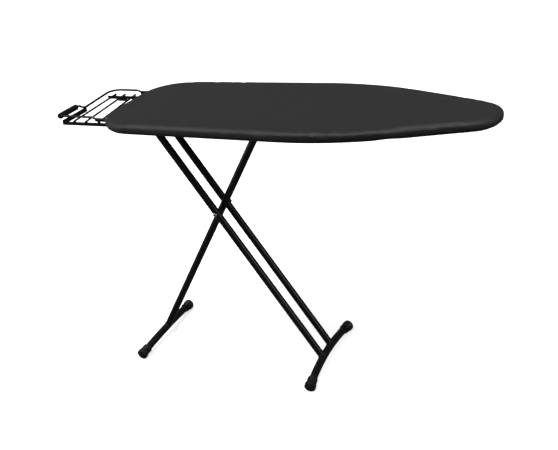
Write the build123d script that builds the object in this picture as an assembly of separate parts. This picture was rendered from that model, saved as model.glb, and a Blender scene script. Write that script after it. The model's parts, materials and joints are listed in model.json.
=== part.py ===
from build123d import *
import math
import os

# Folding ironing board with a fixed iron rest, standing open at its highest notch.
# Millimetres. +X points from the wide end to the nose, +Y to the far side, +Z up.
# The origin is on the floor, under the middle of the overall length and width.

# ---- Board ----
BOARD_LENGTH = 1200.0
BOARD_WIDTH = 451.0
WIDE_END_WIDTH = 426.0
NOSE_WIDTH = 131.0
TAPER_START = 783.0
WIDE_CORNER_R = 130.0
TAPER_R = 825.0
NOSE_R = 92.0
TOP_Z = 912.0
COVER_T = 1.5
EDGE_ROUND = 12.0
HEM_WIDTH = 30.0
PAD_T = 5.9
PAD_INSET = 6.5
DECK_T = 1.1
DECK_INSET = 11.0
RIM_R = 7.5
RIM_INSET = 11.5
TUBE_WALL = 1.2
SHEET_T = 1.5
RIB_WIDTH = 24.0
BRACKET_T = 2.5
EAR_HALF = 17.0
FLANGE_HALF = 46.0
CHANNEL_RIVET_R = 2.0
BRACKET_RIVET_R = 2.5
RIB_STATIONS = (60.0, 132.0, 330.0, 560.0, 800.0, 960.0)

# ---- Leg linkage ----
LEG_ANGLE = 58.2
HINGE_Z = 862.0
PIVOT_Z = 549.0
FOOT_Z = 18.0
PIVOT_STATION = 290.0
LEG_R = 12.0
TWIN_HALF_GAP = 37.4
TUBE_END = 8.5
FOOT_BAR_R = 13.2
FOOT_ARCH = 17.0
FRONT_FOOT_HALF = 178.0
REAR_FOOT_HALF = 166.0
CAP_R = 19.2
CAP_COLLAR_R = 15.8
CAP_CENTRE = 9.0
BOLT_R = 4.0
AXLE_R = 5.0
RUNNING_GAP = 0.08
WELD_GAP = 0.02

# ---- Guide channel, slide block and lever ----
CHANNEL_HALF = 22.0
CHANNEL_BOTTOM = 850.0
CHANNEL_START = 452.0
CHANNEL_END = 896.0
FOLDED_ANGLE = 4.0
NOTCH_DROP = 40.0
NOTCH_COUNT = 6
BLOCK_HALF = 19.6
LEVER_PIN_OFFSET = 36.0
LEVER_ARM_OFFSET = 92.0
LEVER_ARM_DROP = 28.0
GRIP_RISE = 2.0
GRIP_START = 92.0
GRIP_END = 145.0
TOOTH_OFFSET = 20.0
LEVER_T = 4.0

# ---- Iron rest ----
GUARD_REACH = 175.0
GUARD_R = 3.6
GUARD_Z = 902.5
SOCKET_Z = 895.5
GUARD_SIDE = 133.0
GRIP_R = 9.5
HEEL_BAR_END = 0.0
SOCKET_REACH = 34.0
SOCKET_HALF = 5.2
STRIP_HEIGHT = 11.0
STRIP_T = 2.5
STRIP_Y = 128.0
STRIP_REACH = 173.0
STRIP_TOP = 883.0
TAB_STATIONS = (-132.0, -96.0)
TAB_DROP = 7.0
HEEL_BAR_RISE = 4.0
CROSS_WIRE_R = 3.1
CROSS_WIRE_REACHES = ((124.0, 144.0), (78.0, 106.0), (28.0, 63.0))

# ---- Worked-out places ----
WIDE_X = (GUARD_REACH + GRIP_R - BOARD_LENGTH) / 2
SIN_LEG = math.sin(math.radians(LEG_ANGLE))
COS_LEG = math.cos(math.radians(LEG_ANGLE))
UPPER_ARM = (HINGE_Z - PIVOT_Z) / SIN_LEG
LOWER_ARM = (PIVOT_Z - FOOT_Z) / SIN_LEG
LEG_LENGTH = UPPER_ARM + LOWER_ARM
PIVOT_X = WIDE_X + PIVOT_STATION
HINGE_X = PIVOT_X - UPPER_ARM * COS_LEG
ROD_X = PIVOT_X + UPPER_ARM * COS_LEG
COVER_BOTTOM = STRIP_TOP + 0.3
DECK_TOP = TOP_Z - COVER_T - PAD_T - 0.1
DECK_BOTTOM = DECK_TOP - DECK_T
RIM_Z = DECK_BOTTOM - RIM_R
RIB_BOTTOM = 887.0
EAR_IN = TWIN_HALF_GAP + LEG_R + 1.0
EAR_OUT = EAR_IN + BRACKET_T
CHANNEL_CEILING = RIB_BOTTOM - SHEET_T
TWIN_LEG_FRAME = Pos(HINGE_X, 0, HINGE_Z) * Rot(0, LEG_ANGLE, 0)
SINGLE_LEG_FRAME = Pos(ROD_X, 0, HINGE_Z) * Rot(0, 180 - LEG_ANGLE, 0)


def station(distance):
    """The x of a point a given distance from the wide end of the board."""
    return WIDE_X + distance


def rod_x(radius, x0, x1, y=0.0, z=0.0):
    return Pos((x0 + x1) / 2, y, z) * Rot(0, 90, 0) * Cylinder(radius, x1 - x0)


def rod_y(radius, y0, y1, x=0.0, z=0.0):
    return Pos(x, (y0 + y1) / 2, z) * Rot(90, 0, 0) * Cylinder(radius, y1 - y0)


def rod_z(radius, z0, z1, x=0.0, y=0.0):
    return Pos(x, y, (z0 + z1) / 2) * Cylinder(radius, z1 - z0)


def block(x0, x1, y0, y1, z0, z1):
    return Pos((x0 + x1) / 2, (y0 + y1) / 2, (z0 + z1) / 2) * Box(x1 - x0, y1 - y0, z1 - z0)


def bent_rod(points, radii, radius):
    """A round bar along straight runs joined by arcs."""
    path = FilletPolyline(*points, radius=radii)
    return sweep(Plane(origin=path @ 0, z_dir=path % 0) * Circle(radius), path=path)


def solids_of(shapes):
    """Separate solids kept together as one node."""
    return Compound(children=[solid for shape in shapes for solid in shape.solids()])


def save(name, shape):
    shape.label = name
    export_step(shape, os.path.join("parts", name + ".step"))


# ---- Board ----
def board_face(inset):
    """The board's plan outline, moved inwards by inset."""
    wide = WIDE_END_WIDTH / 2
    full = BOARD_WIDTH / 2
    nose = NOSE_WIDTH / 2
    corners = [
        (station(0), -wide),
        (station(TAPER_START), -full),
        (station(BOARD_LENGTH), -nose),
        (station(BOARD_LENGTH), nose),
        (station(TAPER_START), full),
        (station(0), wide),
    ]
    face = make_face(Polyline(*corners, close=True))
    for corner_x, radius in (
        (station(0), WIDE_CORNER_R),
        (station(TAPER_START), TAPER_R),
        (station(BOARD_LENGTH), NOSE_R),
    ):
        picked = [v for v in face.vertices() if abs(v.X - corner_x) < 0.01 and abs(v.Y) > 60]
        face = fillet(picked, radius)
    if inset > 0:
        face = offset(face, amount=-inset)
    return face


def slab(inset, z0, z1):
    return Pos(0, 0, z0) * extrude(board_face(inset), amount=z1 - z0)


def edges_at(shape, z):
    """The level edges of a shape at height z."""
    level = [edge for edge in shape.edges() if edge.bounding_box().size.Z < 0.01]
    return [edge for edge in level if abs(edge.center().Z - z) < 0.01]


def rounded_slab(inset, z0, z1, top_radius, bottom_radius):
    body = slab(inset, z0, z1)
    body = fillet(edges_at(body, z1), top_radius)
    if bottom_radius > 0:
        body = fillet(edges_at(body, z0), bottom_radius)
    return body


def cover():
    """The cloth over the board: its top, its rolled side and the hem turned underneath."""
    outside = rounded_slab(0, COVER_BOTTOM, TOP_Z, EDGE_ROUND, EDGE_ROUND)
    inner_round = EDGE_ROUND - COVER_T
    inside = rounded_slab(COVER_T, COVER_BOTTOM + COVER_T, TOP_Z - COVER_T, inner_round, inner_round)
    opening = slab(HEM_WIDTH, COVER_BOTTOM - 5, COVER_BOTTOM + 5)
    shell = outside - inside - opening
    gap = SOCKET_HALF + 0.4
    for side in (-1, 1):
        y = side * GUARD_SIDE
        shell = shell - block(station(-30), station(60), y - gap, y + gap, SOCKET_Z - gap, SOCKET_Z + gap)
    return shell


def foam_pad():
    return rounded_slab(PAD_INSET, DECK_TOP + 0.1, TOP_Z - COVER_T - 0.1, 5.0, 0)


def mesh_deck():
    return slab(DECK_INSET, DECK_BOTTOM, DECK_TOP)


def rim_round(radius):
    """A solid round bar of that radius along the rim's centre line."""
    path = board_face(RIM_INSET).faces()[0].outer_wire().moved(Location((0, 0, RIM_Z)))
    section = Plane(origin=path @ 0, z_dir=path % 0)
    return sweep(section * Circle(radius), path=path)


def rim_tube():
    return rim_round(RIM_R) - rim_round(RIM_R - TUBE_WALL)


def cross_rib(distance):
    """An upward-opening folded channel from rim to rim."""
    x = station(distance)
    reach = BOARD_WIDTH
    outer = block(x - RIB_WIDTH / 2, x + RIB_WIDTH / 2, -reach, reach, RIB_BOTTOM, DECK_BOTTOM)
    half_inner = RIB_WIDTH / 2 - SHEET_T
    inner = block(x - half_inner, x + half_inner, -reach, reach, RIB_BOTTOM + SHEET_T, DECK_BOTTOM + 1)
    trim = slab(RIM_INSET + RIM_R + 0.2, RIB_BOTTOM - 1, DECK_BOTTOM + 1)
    rib = (outer - inner) & trim
    rib = without_holes(rib, channel_rivet_places(), CHANNEL_RIVET_R)
    return without_holes(rib, bracket_rivet_places(), BRACKET_RIVET_R)


def notch_x(step):
    """The x of the pawl notch for a height that is step drops below the top one."""
    height = HINGE_Z - FOOT_Z - step * NOTCH_DROP
    angle = math.asin(height / LEG_LENGTH)
    return HINGE_X + 2 * UPPER_ARM * math.cos(angle) + TOOTH_OFFSET


def guide_channel():
    """The slotted channel that the single leg's slide rod runs in."""
    x0 = station(CHANNEL_START)
    x1 = station(CHANNEL_END)
    outer = block(x0, x1, -CHANNEL_HALF, CHANNEL_HALF, CHANNEL_BOTTOM, RIB_BOTTOM)
    inner_half = CHANNEL_HALF - SHEET_T
    inner = block(x0 - 1, x1 + 1, -inner_half, inner_half, CHANNEL_BOTTOM - 1, CHANNEL_CEILING)
    end_wall = block(x1 - SHEET_T, x1, -inner_half, inner_half, CHANNEL_BOTTOM + 12, CHANNEL_CEILING)
    folded_x = HINGE_X + 2 * UPPER_ARM * math.cos(math.radians(FOLDED_ANGLE))
    slot_half = AXLE_R + 0.3
    slot = block(ROD_X, folded_x, -50, 50, HINGE_Z - slot_half, HINGE_Z + slot_half)
    slot = slot + rod_y(slot_half, -50, 50, ROD_X, HINGE_Z)
    slot = slot + rod_y(slot_half, -50, 50, folded_x, HINGE_Z)
    channel = outer - inner + end_wall - slot
    for step in range(NOTCH_COUNT):
        x = notch_x(step)
        channel = channel - block(x - 4, x + 4, -5, 5, CHANNEL_CEILING - 1, RIB_BOTTOM + 1)
    return without_holes(channel, channel_rivet_places(), CHANNEL_RIVET_R)


def channel_rivet_places():
    stations = [distance for distance in RIB_STATIONS if CHANNEL_START < distance < CHANNEL_END]
    return [(station(distance), side * 13.0) for distance in stations for side in (-1, 1)]


def bracket_rivet_places():
    return [(station(distance), side * y)
            for distance in RIB_STATIONS[:2] for y in (60.0, 71.0) for side in (-1, 1)]


def without_holes(shape, places, radius):
    """The shape bored upright at each place."""
    for x, y in places:
        shape = shape - rod_z(radius, RIB_BOTTOM - 10, RIB_BOTTOM + 10, x, y)
    return shape


def rivet(x, y, head_z, tail_z, radius):
    """A rivet with a button head beyond head_z, and its tail flush at tail_z."""
    head = Pos(x, y, head_z) * Sphere(radius * 1.9)
    away = math.copysign(radius * 1.3, head_z - tail_z)
    low, high = sorted((head_z, head_z + away))
    head = head & block(x - 20, x + 20, y - 20, y + 20, low, high)
    return head + rod_z(radius, min(head_z, tail_z), max(head_z, tail_z), x, y)


def hinge_bracket(side):
    """An L-shaped ear that carries the hinge axle, with its flange under the deck."""
    ear = block(HINGE_X - EAR_HALF, HINGE_X + EAR_HALF, EAR_IN, EAR_OUT, HINGE_Z, RIB_BOTTOM)
    ear = ear + rod_y(EAR_HALF, EAR_IN, EAR_OUT, HINGE_X, HINGE_Z)
    flange_z = RIB_BOTTOM - BRACKET_T
    flange = block(HINGE_X - FLANGE_HALF, HINGE_X + FLANGE_HALF, EAR_IN, EAR_OUT + 24, flange_z, RIB_BOTTOM)
    bracket = ear + flange - rod_y(AXLE_R, EAR_IN - 1, EAR_OUT + 1, HINGE_X, HINGE_Z)
    bracket = bracket if side > 0 else bracket.mirror(Plane.XZ)
    return without_holes(bracket, bracket_rivet_places(), BRACKET_RIVET_R)


def hinge_axle():
    """The fixed axle that the twin leg turns on, with a turned head at each end."""
    axle = rod_y(AXLE_R, -EAR_OUT - 2, EAR_OUT + 2, HINGE_X, HINGE_Z)
    for side in (-1, 1):
        head = rod_y(AXLE_R + 3, EAR_OUT + 0.1, EAR_OUT + 2.6, HINGE_X, HINGE_Z)
        head = chamfer(head.edges().sort_by(Axis.Y)[-1], 1.0)
        axle = axle + (head if side > 0 else head.mirror(Plane.XZ))
    return axle


# ---- Iron rest ----
def strip_profile(y0, y1):
    """A flat strip on edge, which steps up to the ribs once it is past the hem."""
    x0 = station(-STRIP_REACH)
    x_step = station(HEM_WIDTH + 20)
    x1 = station(RIB_STATIONS[0] + RIB_WIDTH / 2)
    points = [
        (x0, STRIP_TOP - STRIP_HEIGHT),
        (x1, STRIP_TOP - STRIP_HEIGHT),
        (x1, RIB_BOTTOM),
        (x_step + 6, RIB_BOTTOM),
        (x_step, STRIP_TOP),
        (x0, STRIP_TOP),
    ]
    face = Plane.XZ * make_face(Polyline(*points, close=True))
    return Pos(0, y1, 0) * extrude(face, amount=y1 - y0)


def rest_strip_near():
    """The near strip, turned across at its outer end as the iron's heel bar."""
    strip = strip_profile(-STRIP_Y - STRIP_T / 2, -STRIP_Y + STRIP_T / 2)
    x0 = station(-STRIP_REACH)
    heel_top = STRIP_TOP + HEEL_BAR_RISE
    heel_bar = block(x0, x0 + STRIP_T, -STRIP_Y, HEEL_BAR_END, STRIP_TOP - STRIP_HEIGHT, heel_top)
    return strip + heel_bar


def rest_strip_far():
    strip = strip_profile(STRIP_Y - STRIP_T / 2, STRIP_Y + STRIP_T / 2)
    tab_x0, tab_x1 = (station(distance) for distance in TAB_STATIONS)
    bottom = STRIP_TOP - STRIP_HEIGHT
    tab = block(tab_x0, tab_x1, STRIP_Y - STRIP_T / 2, STRIP_Y + STRIP_T / 2, bottom - TAB_DROP, bottom)
    return strip + tab


def cross_wire(near_reach, far_reach):
    """A wire across the strips, let a little way into their top edges."""
    z = STRIP_TOP + CROSS_WIRE_R - 0.1
    ends = (station(-near_reach), -STRIP_Y - 4, z), (station(-far_reach), STRIP_Y + 9, z)
    path = Line(*ends)
    wire = sweep(Plane(origin=path @ 0, z_dir=path % 0) * Circle(CROSS_WIRE_R), path=path)
    x0 = station(-STRIP_REACH)
    for side in (-1, 1):
        y = side * STRIP_Y
        wire = wire - block(x0, station(0), y - STRIP_T, y + STRIP_T, STRIP_TOP - 5, STRIP_TOP)
    return wire


def guard_wire():
    """The raised wire around the rest: up from its sockets, and stepped inwards past its grip."""
    outer_x = station(-GUARD_REACH)
    points = [
        (station(16), -GUARD_SIDE, SOCKET_Z),
        (station(-30), -GUARD_SIDE, SOCKET_Z),
        (station(-46), -131, GUARD_Z),
        (outer_x, -128, GUARD_Z),
        (outer_x, -31, GUARD_Z),
        (station(-138), -50, GUARD_Z),
        (station(-156), 137, GUARD_Z),
        (station(-46), 133, GUARD_Z),
        (station(-30), GUARD_SIDE, SOCKET_Z),
        (station(16), GUARD_SIDE, SOCKET_Z),
    ]
    radii = [10, 12, 9, 6, 8, 36, 12, 10]
    return bent_rod(points, radii, GUARD_R) - rim_round(RIM_R + WELD_GAP)


def guard_grip():
    """The moulded grip over the guard's near corner and outer run."""
    sleeve = rod_y(GRIP_R, -134, -43, station(-GUARD_REACH), GUARD_Z)
    sleeve = fillet(sleeve.edges(), 3.0) - guard_wire()
    return max(sleeve.solids(), key=lambda solid: solid.volume)


def guard_socket(side):
    """The moulded block that holds the guard's end against the rim."""
    y = side * GUARD_SIDE
    socket = block(station(-SOCKET_REACH), station(14), y - SOCKET_HALF, y + SOCKET_HALF,
                   SOCKET_Z - SOCKET_HALF, SOCKET_Z + SOCKET_HALF)
    socket = fillet(socket.edges().filter_by(Axis.X), 3.0)
    socket = socket - rim_round(RIM_R + WELD_GAP) - guard_wire()
    return max(socket.solids(), key=lambda solid: solid.volume)


# ---- Legs, built along local +X from their top pin to the foot ----
def foot_path(half_width):
    """The centre line of an arched foot bar, which ends inside its caps."""
    slope = math.atan(2 * FOOT_ARCH / half_width)
    end_y = half_width - CAP_CENTRE * math.cos(slope)
    end_x = LEG_LENGTH - CAP_CENTRE * math.sin(slope)
    return ThreePointArc((end_x, -end_y, 0), (LEG_LENGTH - FOOT_ARCH, 0, 0), (end_x, end_y, 0))


def foot_round(half_width, radius):
    """A solid round bar of that radius along a foot bar's centre line."""
    path = foot_path(half_width)
    section = Plane(origin=path @ 0, z_dir=path % 0)
    return sweep(section * Circle(radius), path=path)


def foot_bar(half_width):
    return foot_round(half_width, FOOT_BAR_R) - foot_round(half_width, FOOT_BAR_R - TUBE_WALL)


def foot_cap(half_width, side):
    """A rubber cap: a collar on the bar, flaring to a domed disc."""
    profile = Polyline(
        (0, -24), (CAP_COLLAR_R, -24), (CAP_COLLAR_R, -3), (CAP_R, 3),
    )
    rim = Line((CAP_R, 3), (CAP_R, 15))
    dome = ThreePointArc((CAP_R, 15), (CAP_R * 0.62, 20.0), (0, 21.5))
    axis_line = Line((0, 21.5), (0, -24))
    face = make_face([profile, rim, dome, axis_line])
    cap = revolve(Plane.XZ * face, axis=Axis.Z)
    path = foot_path(half_width)
    position = path @ (1 if side > 0 else 0)
    direction = (path % 1) if side > 0 else (path % 0) * -1
    cap = Plane(origin=position, z_dir=direction) * cap
    return cap - foot_round(half_width, FOOT_BAR_R + WELD_GAP)


def on_floor(shape):
    """Cut flat where the shape would reach below the floor."""
    return shape - block(-900, 900, -400, 400, -60, 0)


def leg_tube(y, half_width, holes):
    """A round tube, saddle-cut to its foot bar and cross-bored for its pins."""
    end = LEG_LENGTH - FOOT_ARCH + 2
    tube = rod_x(LEG_R, -TUBE_END, end, y) - rod_x(LEG_R - TUBE_WALL, -TUBE_END - 1, end + 1, y)
    tube = tube - foot_round(half_width, FOOT_BAR_R + WELD_GAP)
    for x, radius in holes:
        tube = tube - rod_y(radius, y - 2 * LEG_R, y + 2 * LEG_R, x)
    return max(tube.solids(), key=lambda solid: solid.volume)


def tube_plug(y, pin_radius):
    """A plastic plug that closes a tube's upper end round its pin."""
    plug = rod_x(LEG_R - TUBE_WALL, -TUBE_END, 14, y) + rod_x(LEG_R, -TUBE_END - 1, -TUBE_END, y)
    return plug - rod_y(pin_radius, y - 2 * LEG_R, y + 2 * LEG_R)


def pivot_spacer(side):
    """A bush that holds a twin tube away from the single leg."""
    spacer = rod_y(8.0, LEG_R + 0.4, TWIN_HALF_GAP, UPPER_ARM) - rod_y(BOLT_R, 0, 60, UPPER_ARM)
    spacer = spacer - rod_x(LEG_R + WELD_GAP, UPPER_ARM - 40, UPPER_ARM + 40, TWIN_HALF_GAP)
    spacer = max(spacer.solids(), key=lambda solid: solid.volume)
    return spacer if side > 0 else spacer.mirror(Plane.XZ)


def pivot_washer(side):
    """A washer with a saddle face, seated on the outside of a twin tube."""
    outer_face = TWIN_HALF_GAP + LEG_R + 1.6
    washer = rod_y(8.5, outer_face - 5, outer_face, UPPER_ARM) - rod_y(BOLT_R, 30, 70, UPPER_ARM)
    washer = washer - rod_x(LEG_R + WELD_GAP, UPPER_ARM - 40, UPPER_ARM + 40, TWIN_HALF_GAP)
    return washer if side > 0 else washer.mirror(Plane.XZ)


def pivot_bolt():
    """The bolt that the legs cross on, with its domed head on the near side."""
    face = TWIN_HALF_GAP + LEG_R + 1.6
    shaft = rod_y(BOLT_R, -face, face + 5.5, UPPER_ARM)
    head = Pos(UPPER_ARM, -face + 2.2, 0) * Sphere(8.2)
    head = head & block(UPPER_ARM - 9, UPPER_ARM + 9, -face - 9, -face, -9, 9)
    return shaft + head


def pivot_nut():
    """A hexagonal cap nut with a domed end."""
    face = TWIN_HALF_GAP + LEG_R + 1.6
    hexagon = RegularPolygon(7.5, 6)
    nut = Pos(UPPER_ARM, face, 0) * Rot(-90, 0, 0) * extrude(hexagon, amount=6)
    dome = Pos(UPPER_ARM, face + 5.6, 0) * Sphere(6.2)
    dome = dome & block(UPPER_ARM - 9, UPPER_ARM + 9, face + 6, face + 20, -9, 9)
    return nut + dome - rod_y(BOLT_R, face - 1, face + 5.5, UPPER_ARM)


def hinge_sleeve():
    """The cross tube between the twin tubes, which turns on the hinge axle."""
    sleeve = rod_y(8.0, -TWIN_HALF_GAP, TWIN_HALF_GAP) - rod_y(AXLE_R + RUNNING_GAP, -60, 60)
    for side in (-1, 1):
        sleeve = sleeve - rod_x(LEG_R + WELD_GAP, -60, 60, side * TWIN_HALF_GAP)
    return max(sleeve.solids(), key=lambda solid: solid.volume)


def save_twin_leg():
    holes = [(0, AXLE_R + RUNNING_GAP), (UPPER_ARM, BOLT_R)]
    plugs = [tube_plug(side * TWIN_HALF_GAP, AXLE_R + RUNNING_GAP) for side in (-1, 1)]
    pieces = {
        "twin_tube_near": leg_tube(-TWIN_HALF_GAP, FRONT_FOOT_HALF, holes),
        "twin_tube_far": leg_tube(TWIN_HALF_GAP, FRONT_FOOT_HALF, holes),
        "twin_tube_plugs": solids_of(plugs),
        "hinge_sleeve": hinge_sleeve(),
        "front_foot_bar": foot_bar(FRONT_FOOT_HALF),
        "pivot_bolt": pivot_bolt(),
        "pivot_nut": pivot_nut(),
        "pivot_washers": solids_of([pivot_washer(side) for side in (-1, 1)]),
        "pivot_spacers": solids_of([pivot_spacer(side) for side in (-1, 1)]),
    }
    for name, shape in pieces.items():
        save(name, TWIN_LEG_FRAME * shape)
    for name, side in (("near", -1), ("far", 1)):
        save("front_foot_cap_" + name, on_floor(TWIN_LEG_FRAME * foot_cap(FRONT_FOOT_HALF, side)))


def pivot_sleeve():
    """The steel bush across the single leg, which turns on the pivot bolt."""
    return rod_y(6.0, -LEG_R, LEG_R, UPPER_ARM) - rod_y(BOLT_R + RUNNING_GAP, -20, 20, UPPER_ARM)


def rod_cap(side):
    """A push-on cap that keeps the slide rod in the channel."""
    cap = rod_y(9.0, CHANNEL_HALF + 1.0, CHANNEL_HALF + 8.0)
    cap = fillet(cap.edges().sort_by(Axis.Y)[-1], 3.0) - rod_y(AXLE_R, 0, CHANNEL_HALF + 6.0)
    return cap if side > 0 else cap.mirror(Plane.XZ)


def save_single_leg():
    holes = [(0, AXLE_R), (UPPER_ARM, 6.0)]
    rod_end = CHANNEL_HALF + 6.0
    pieces = {
        "single_tube": leg_tube(0, REAR_FOOT_HALF, holes),
        "single_tube_plug": tube_plug(0, AXLE_R),
        "slide_rod": rod_y(AXLE_R, -rod_end, rod_end),
        "slide_rod_caps": solids_of([rod_cap(side) for side in (-1, 1)]),
        "pivot_sleeve": pivot_sleeve(),
        "rear_foot_bar": foot_bar(REAR_FOOT_HALF),
    }
    for name, shape in pieces.items():
        save(name, SINGLE_LEG_FRAME * shape)
    for name, side in (("near", -1), ("far", 1)):
        save("rear_foot_cap_" + name, on_floor(SINGLE_LEG_FRAME * foot_cap(REAR_FOOT_HALF, side)))


# ---- Slide block and release lever, built around the slide rod's centre ----
def slide_block():
    """A nylon block that rides in the channel, forked round the single leg."""
    top = CHANNEL_CEILING - HINGE_Z - 0.6
    body = block(-14, 54, -BLOCK_HALF, BLOCK_HALF, -10, top)
    fork = block(-20, 18, -LEG_R - 0.5, LEG_R + 0.5, -20, 30)
    body = body - fork - rod_y(AXLE_R + RUNNING_GAP, -30, 30)
    lever_slot = block(10, 47, -6.5, 6.5, -20, 30) + block(46, 60, -6.5, 6.5, -20, -3)
    return body - lever_slot - rod_y(3.0, -30, 30, LEVER_PIN_OFFSET)


def lever_plate():
    """The lever's flat steel plate: pivot eye, pawl tooth on top, tail below."""
    tooth_top = CHANNEL_CEILING - HINGE_Z - 0.5
    points = [
        (TOOTH_OFFSET - 3, tooth_top),
        (TOOTH_OFFSET + 3, tooth_top),
        (TOOTH_OFFSET + 7, 10),
        (LEVER_PIN_OFFSET + 9, 8),
        (LEVER_PIN_OFFSET + 9, -8),
        (LEVER_ARM_OFFSET + 8, 10 - LEVER_ARM_DROP),
        (LEVER_ARM_OFFSET + 8, -8 - LEVER_ARM_DROP),
        (LEVER_ARM_OFFSET - 10, -8 - LEVER_ARM_DROP),
        (LEVER_PIN_OFFSET - 8, -11),
        (LEVER_PIN_OFFSET - 13, 2),
        (TOOTH_OFFSET - 3, 8),
    ]
    face = Plane.XZ * make_face(Polyline(*points, close=True))
    plate = Pos(0, LEVER_T / 2 - 3, 0) * extrude(face, amount=LEVER_T)
    plate = plate - rod_y(3.0 + RUNNING_GAP, -20, 20, LEVER_PIN_OFFSET)
    return plate - rod_y(4.0, -20, 20, LEVER_ARM_OFFSET, -LEVER_ARM_DROP)


def lever_rod():
    """The bent round bar from the plate to the grip under the near edge."""
    points = [
        (LEVER_ARM_OFFSET, 2, -LEVER_ARM_DROP),
        (LEVER_ARM_OFFSET, -50, -LEVER_ARM_DROP),
        (LEVER_ARM_OFFSET, -82, GRIP_RISE),
        (LEVER_ARM_OFFSET, 4 - GRIP_END, GRIP_RISE),
    ]
    return bent_rod(points, [20, 20], 4.0)


def lever_grip():
    """The moulded finger grip on the lever's end."""
    grip = rod_y(7.5, -GRIP_END, -GRIP_START, LEVER_ARM_OFFSET, GRIP_RISE)
    grip = fillet(grip.edges(), 3.0)
    return grip - rod_y(4.0, 4 - GRIP_END, -80, LEVER_ARM_OFFSET, GRIP_RISE)


def lever_spring():
    """The torsion spring beside the plate, as its closed coil."""
    coil = rod_y(5.6, 0.6, 6.2, LEVER_PIN_OFFSET) - rod_y(3.4, 0, 7, LEVER_PIN_OFFSET)
    return coil


def save_block_and_lever():
    place = Pos(ROD_X, 0, HINGE_Z)
    pieces = {
        "slide_block": slide_block(),
        "lever_pin": rod_y(3.0, -BLOCK_HALF + 0.6, BLOCK_HALF - 0.6, LEVER_PIN_OFFSET),
        "lever_spring": lever_spring(),
        "lever_plate": lever_plate(),
        "lever_rod": lever_rod(),
        "lever_grip": lever_grip(),
    }
    for name, shape in pieces.items():
        save(name, place * shape)


def save_board():
    save("cover", cover())
    save("foam_pad", foam_pad())
    save("mesh_deck", mesh_deck())
    save("rim_tube", rim_tube())
    for number, distance in enumerate(RIB_STATIONS, start=1):
        save("cross_rib_%d" % number, cross_rib(distance))
    save("guide_channel", guide_channel())
    top = RIB_BOTTOM + SHEET_T
    rivets = [rivet(x, y, top, CHANNEL_CEILING, CHANNEL_RIVET_R) for x, y in channel_rivet_places()]
    save("channel_rivets", solids_of(rivets))
    save("hinge_bracket_near", hinge_bracket(-1))
    save("hinge_bracket_far", hinge_bracket(1))
    rivets = [rivet(x, y, RIB_BOTTOM - BRACKET_T, top, BRACKET_RIVET_R) for x, y in bracket_rivet_places()]
    save("bracket_rivets", solids_of(rivets))
    save("hinge_axle", hinge_axle())


def save_iron_rest():
    save("rest_strip_near", rest_strip_near())
    save("rest_strip_far", rest_strip_far())
    for number, reaches in enumerate(CROSS_WIRE_REACHES, start=1):
        save("rest_cross_wire_%d" % number, cross_wire(*reaches))
    save("guard_wire", guard_wire())
    save("guard_grip", guard_grip())
    save("guard_socket_near", guard_socket(-1))
    save("guard_socket_far", guard_socket(1))


os.makedirs("parts", exist_ok=True)
save_board()
save_iron_rest()
save_twin_leg()
save_single_leg()
save_block_and_lever()
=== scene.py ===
import json
import math

import bmesh
import bpy
import numpy as np
from mathutils import Matrix, Vector


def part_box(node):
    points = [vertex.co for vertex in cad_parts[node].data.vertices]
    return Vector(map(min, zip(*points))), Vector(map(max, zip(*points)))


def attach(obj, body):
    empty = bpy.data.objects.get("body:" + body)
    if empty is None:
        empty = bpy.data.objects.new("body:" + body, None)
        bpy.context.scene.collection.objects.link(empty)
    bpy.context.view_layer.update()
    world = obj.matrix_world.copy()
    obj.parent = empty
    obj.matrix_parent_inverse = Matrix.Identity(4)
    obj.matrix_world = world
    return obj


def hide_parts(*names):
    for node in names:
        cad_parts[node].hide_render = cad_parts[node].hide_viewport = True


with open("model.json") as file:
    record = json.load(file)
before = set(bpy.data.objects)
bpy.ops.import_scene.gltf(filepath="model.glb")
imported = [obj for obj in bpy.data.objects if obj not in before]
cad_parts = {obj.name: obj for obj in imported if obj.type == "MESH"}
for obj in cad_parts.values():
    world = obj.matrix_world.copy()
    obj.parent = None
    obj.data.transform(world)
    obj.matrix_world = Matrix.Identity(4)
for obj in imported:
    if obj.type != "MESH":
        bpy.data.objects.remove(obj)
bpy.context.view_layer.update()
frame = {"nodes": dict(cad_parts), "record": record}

# Folding ironing board: the padded cloth top, the open mesh deck under it, moulded feet and grips,
# weld beads, stitches and the lever's spring, made around the frame of tubes and pins.
# Metres. +X to the nose, +Y to the far side, +Z up, the origin on the floor under the middle.

MM = 0.001
COVER_LOW, COVER_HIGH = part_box("cover")
DECK_LOW, DECK_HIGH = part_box("mesh_deck")
NODES = frame["nodes"]

# The board's plan: its corners as (distance from the wide end, half width, rounding radius).
WIDE_END = COVER_LOW.x
BOARD_PLAN = (
    (0 * MM, 213 * MM, 130 * MM),
    (783 * MM, 225.5 * MM, 825 * MM),
    (1200 * MM, 65.5 * MM, 92 * MM),
)
ARC_STEPS = 24
EDGE_ROUND = 12 * MM
EDGE_WIDE = 18 * MM
HEM_WIDTH = 30 * MM
STRIP_Y = 128 * MM
WIRE_R = 3.1 * MM

# The legs: their pins and feet, as in the frame.
LEG_ANGLE = math.radians(58.2)
HINGE_Z = 862 * MM
PIVOT_Z = 549 * MM
FOOT_Z = 18 * MM
PIVOT_X = WIDE_END + 290 * MM
UPPER_ARM = (HINGE_Z - PIVOT_Z) / math.sin(LEG_ANGLE)
LEG_LENGTH = (HINGE_Z - FOOT_Z) / math.sin(LEG_ANGLE)
HINGE_X = PIVOT_X - UPPER_ARM * math.cos(LEG_ANGLE)
ROD_X = PIVOT_X + UPPER_ARM * math.cos(LEG_ANGLE)
LEG_R = 12 * MM
TWIN_HALF_GAP = 37.4 * MM
FOOT_BAR_R = 13.2 * MM
FOOT_ARCH = 17 * MM
CAP_COLLAR_R = 15.8 * MM
CAP_CENTRE = 9 * MM
FRONT_FOOT_HALF = 178 * MM
REAR_FOOT_HALF = 166 * MM
FOLDED_ANGLE = math.radians(4.2)
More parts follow.
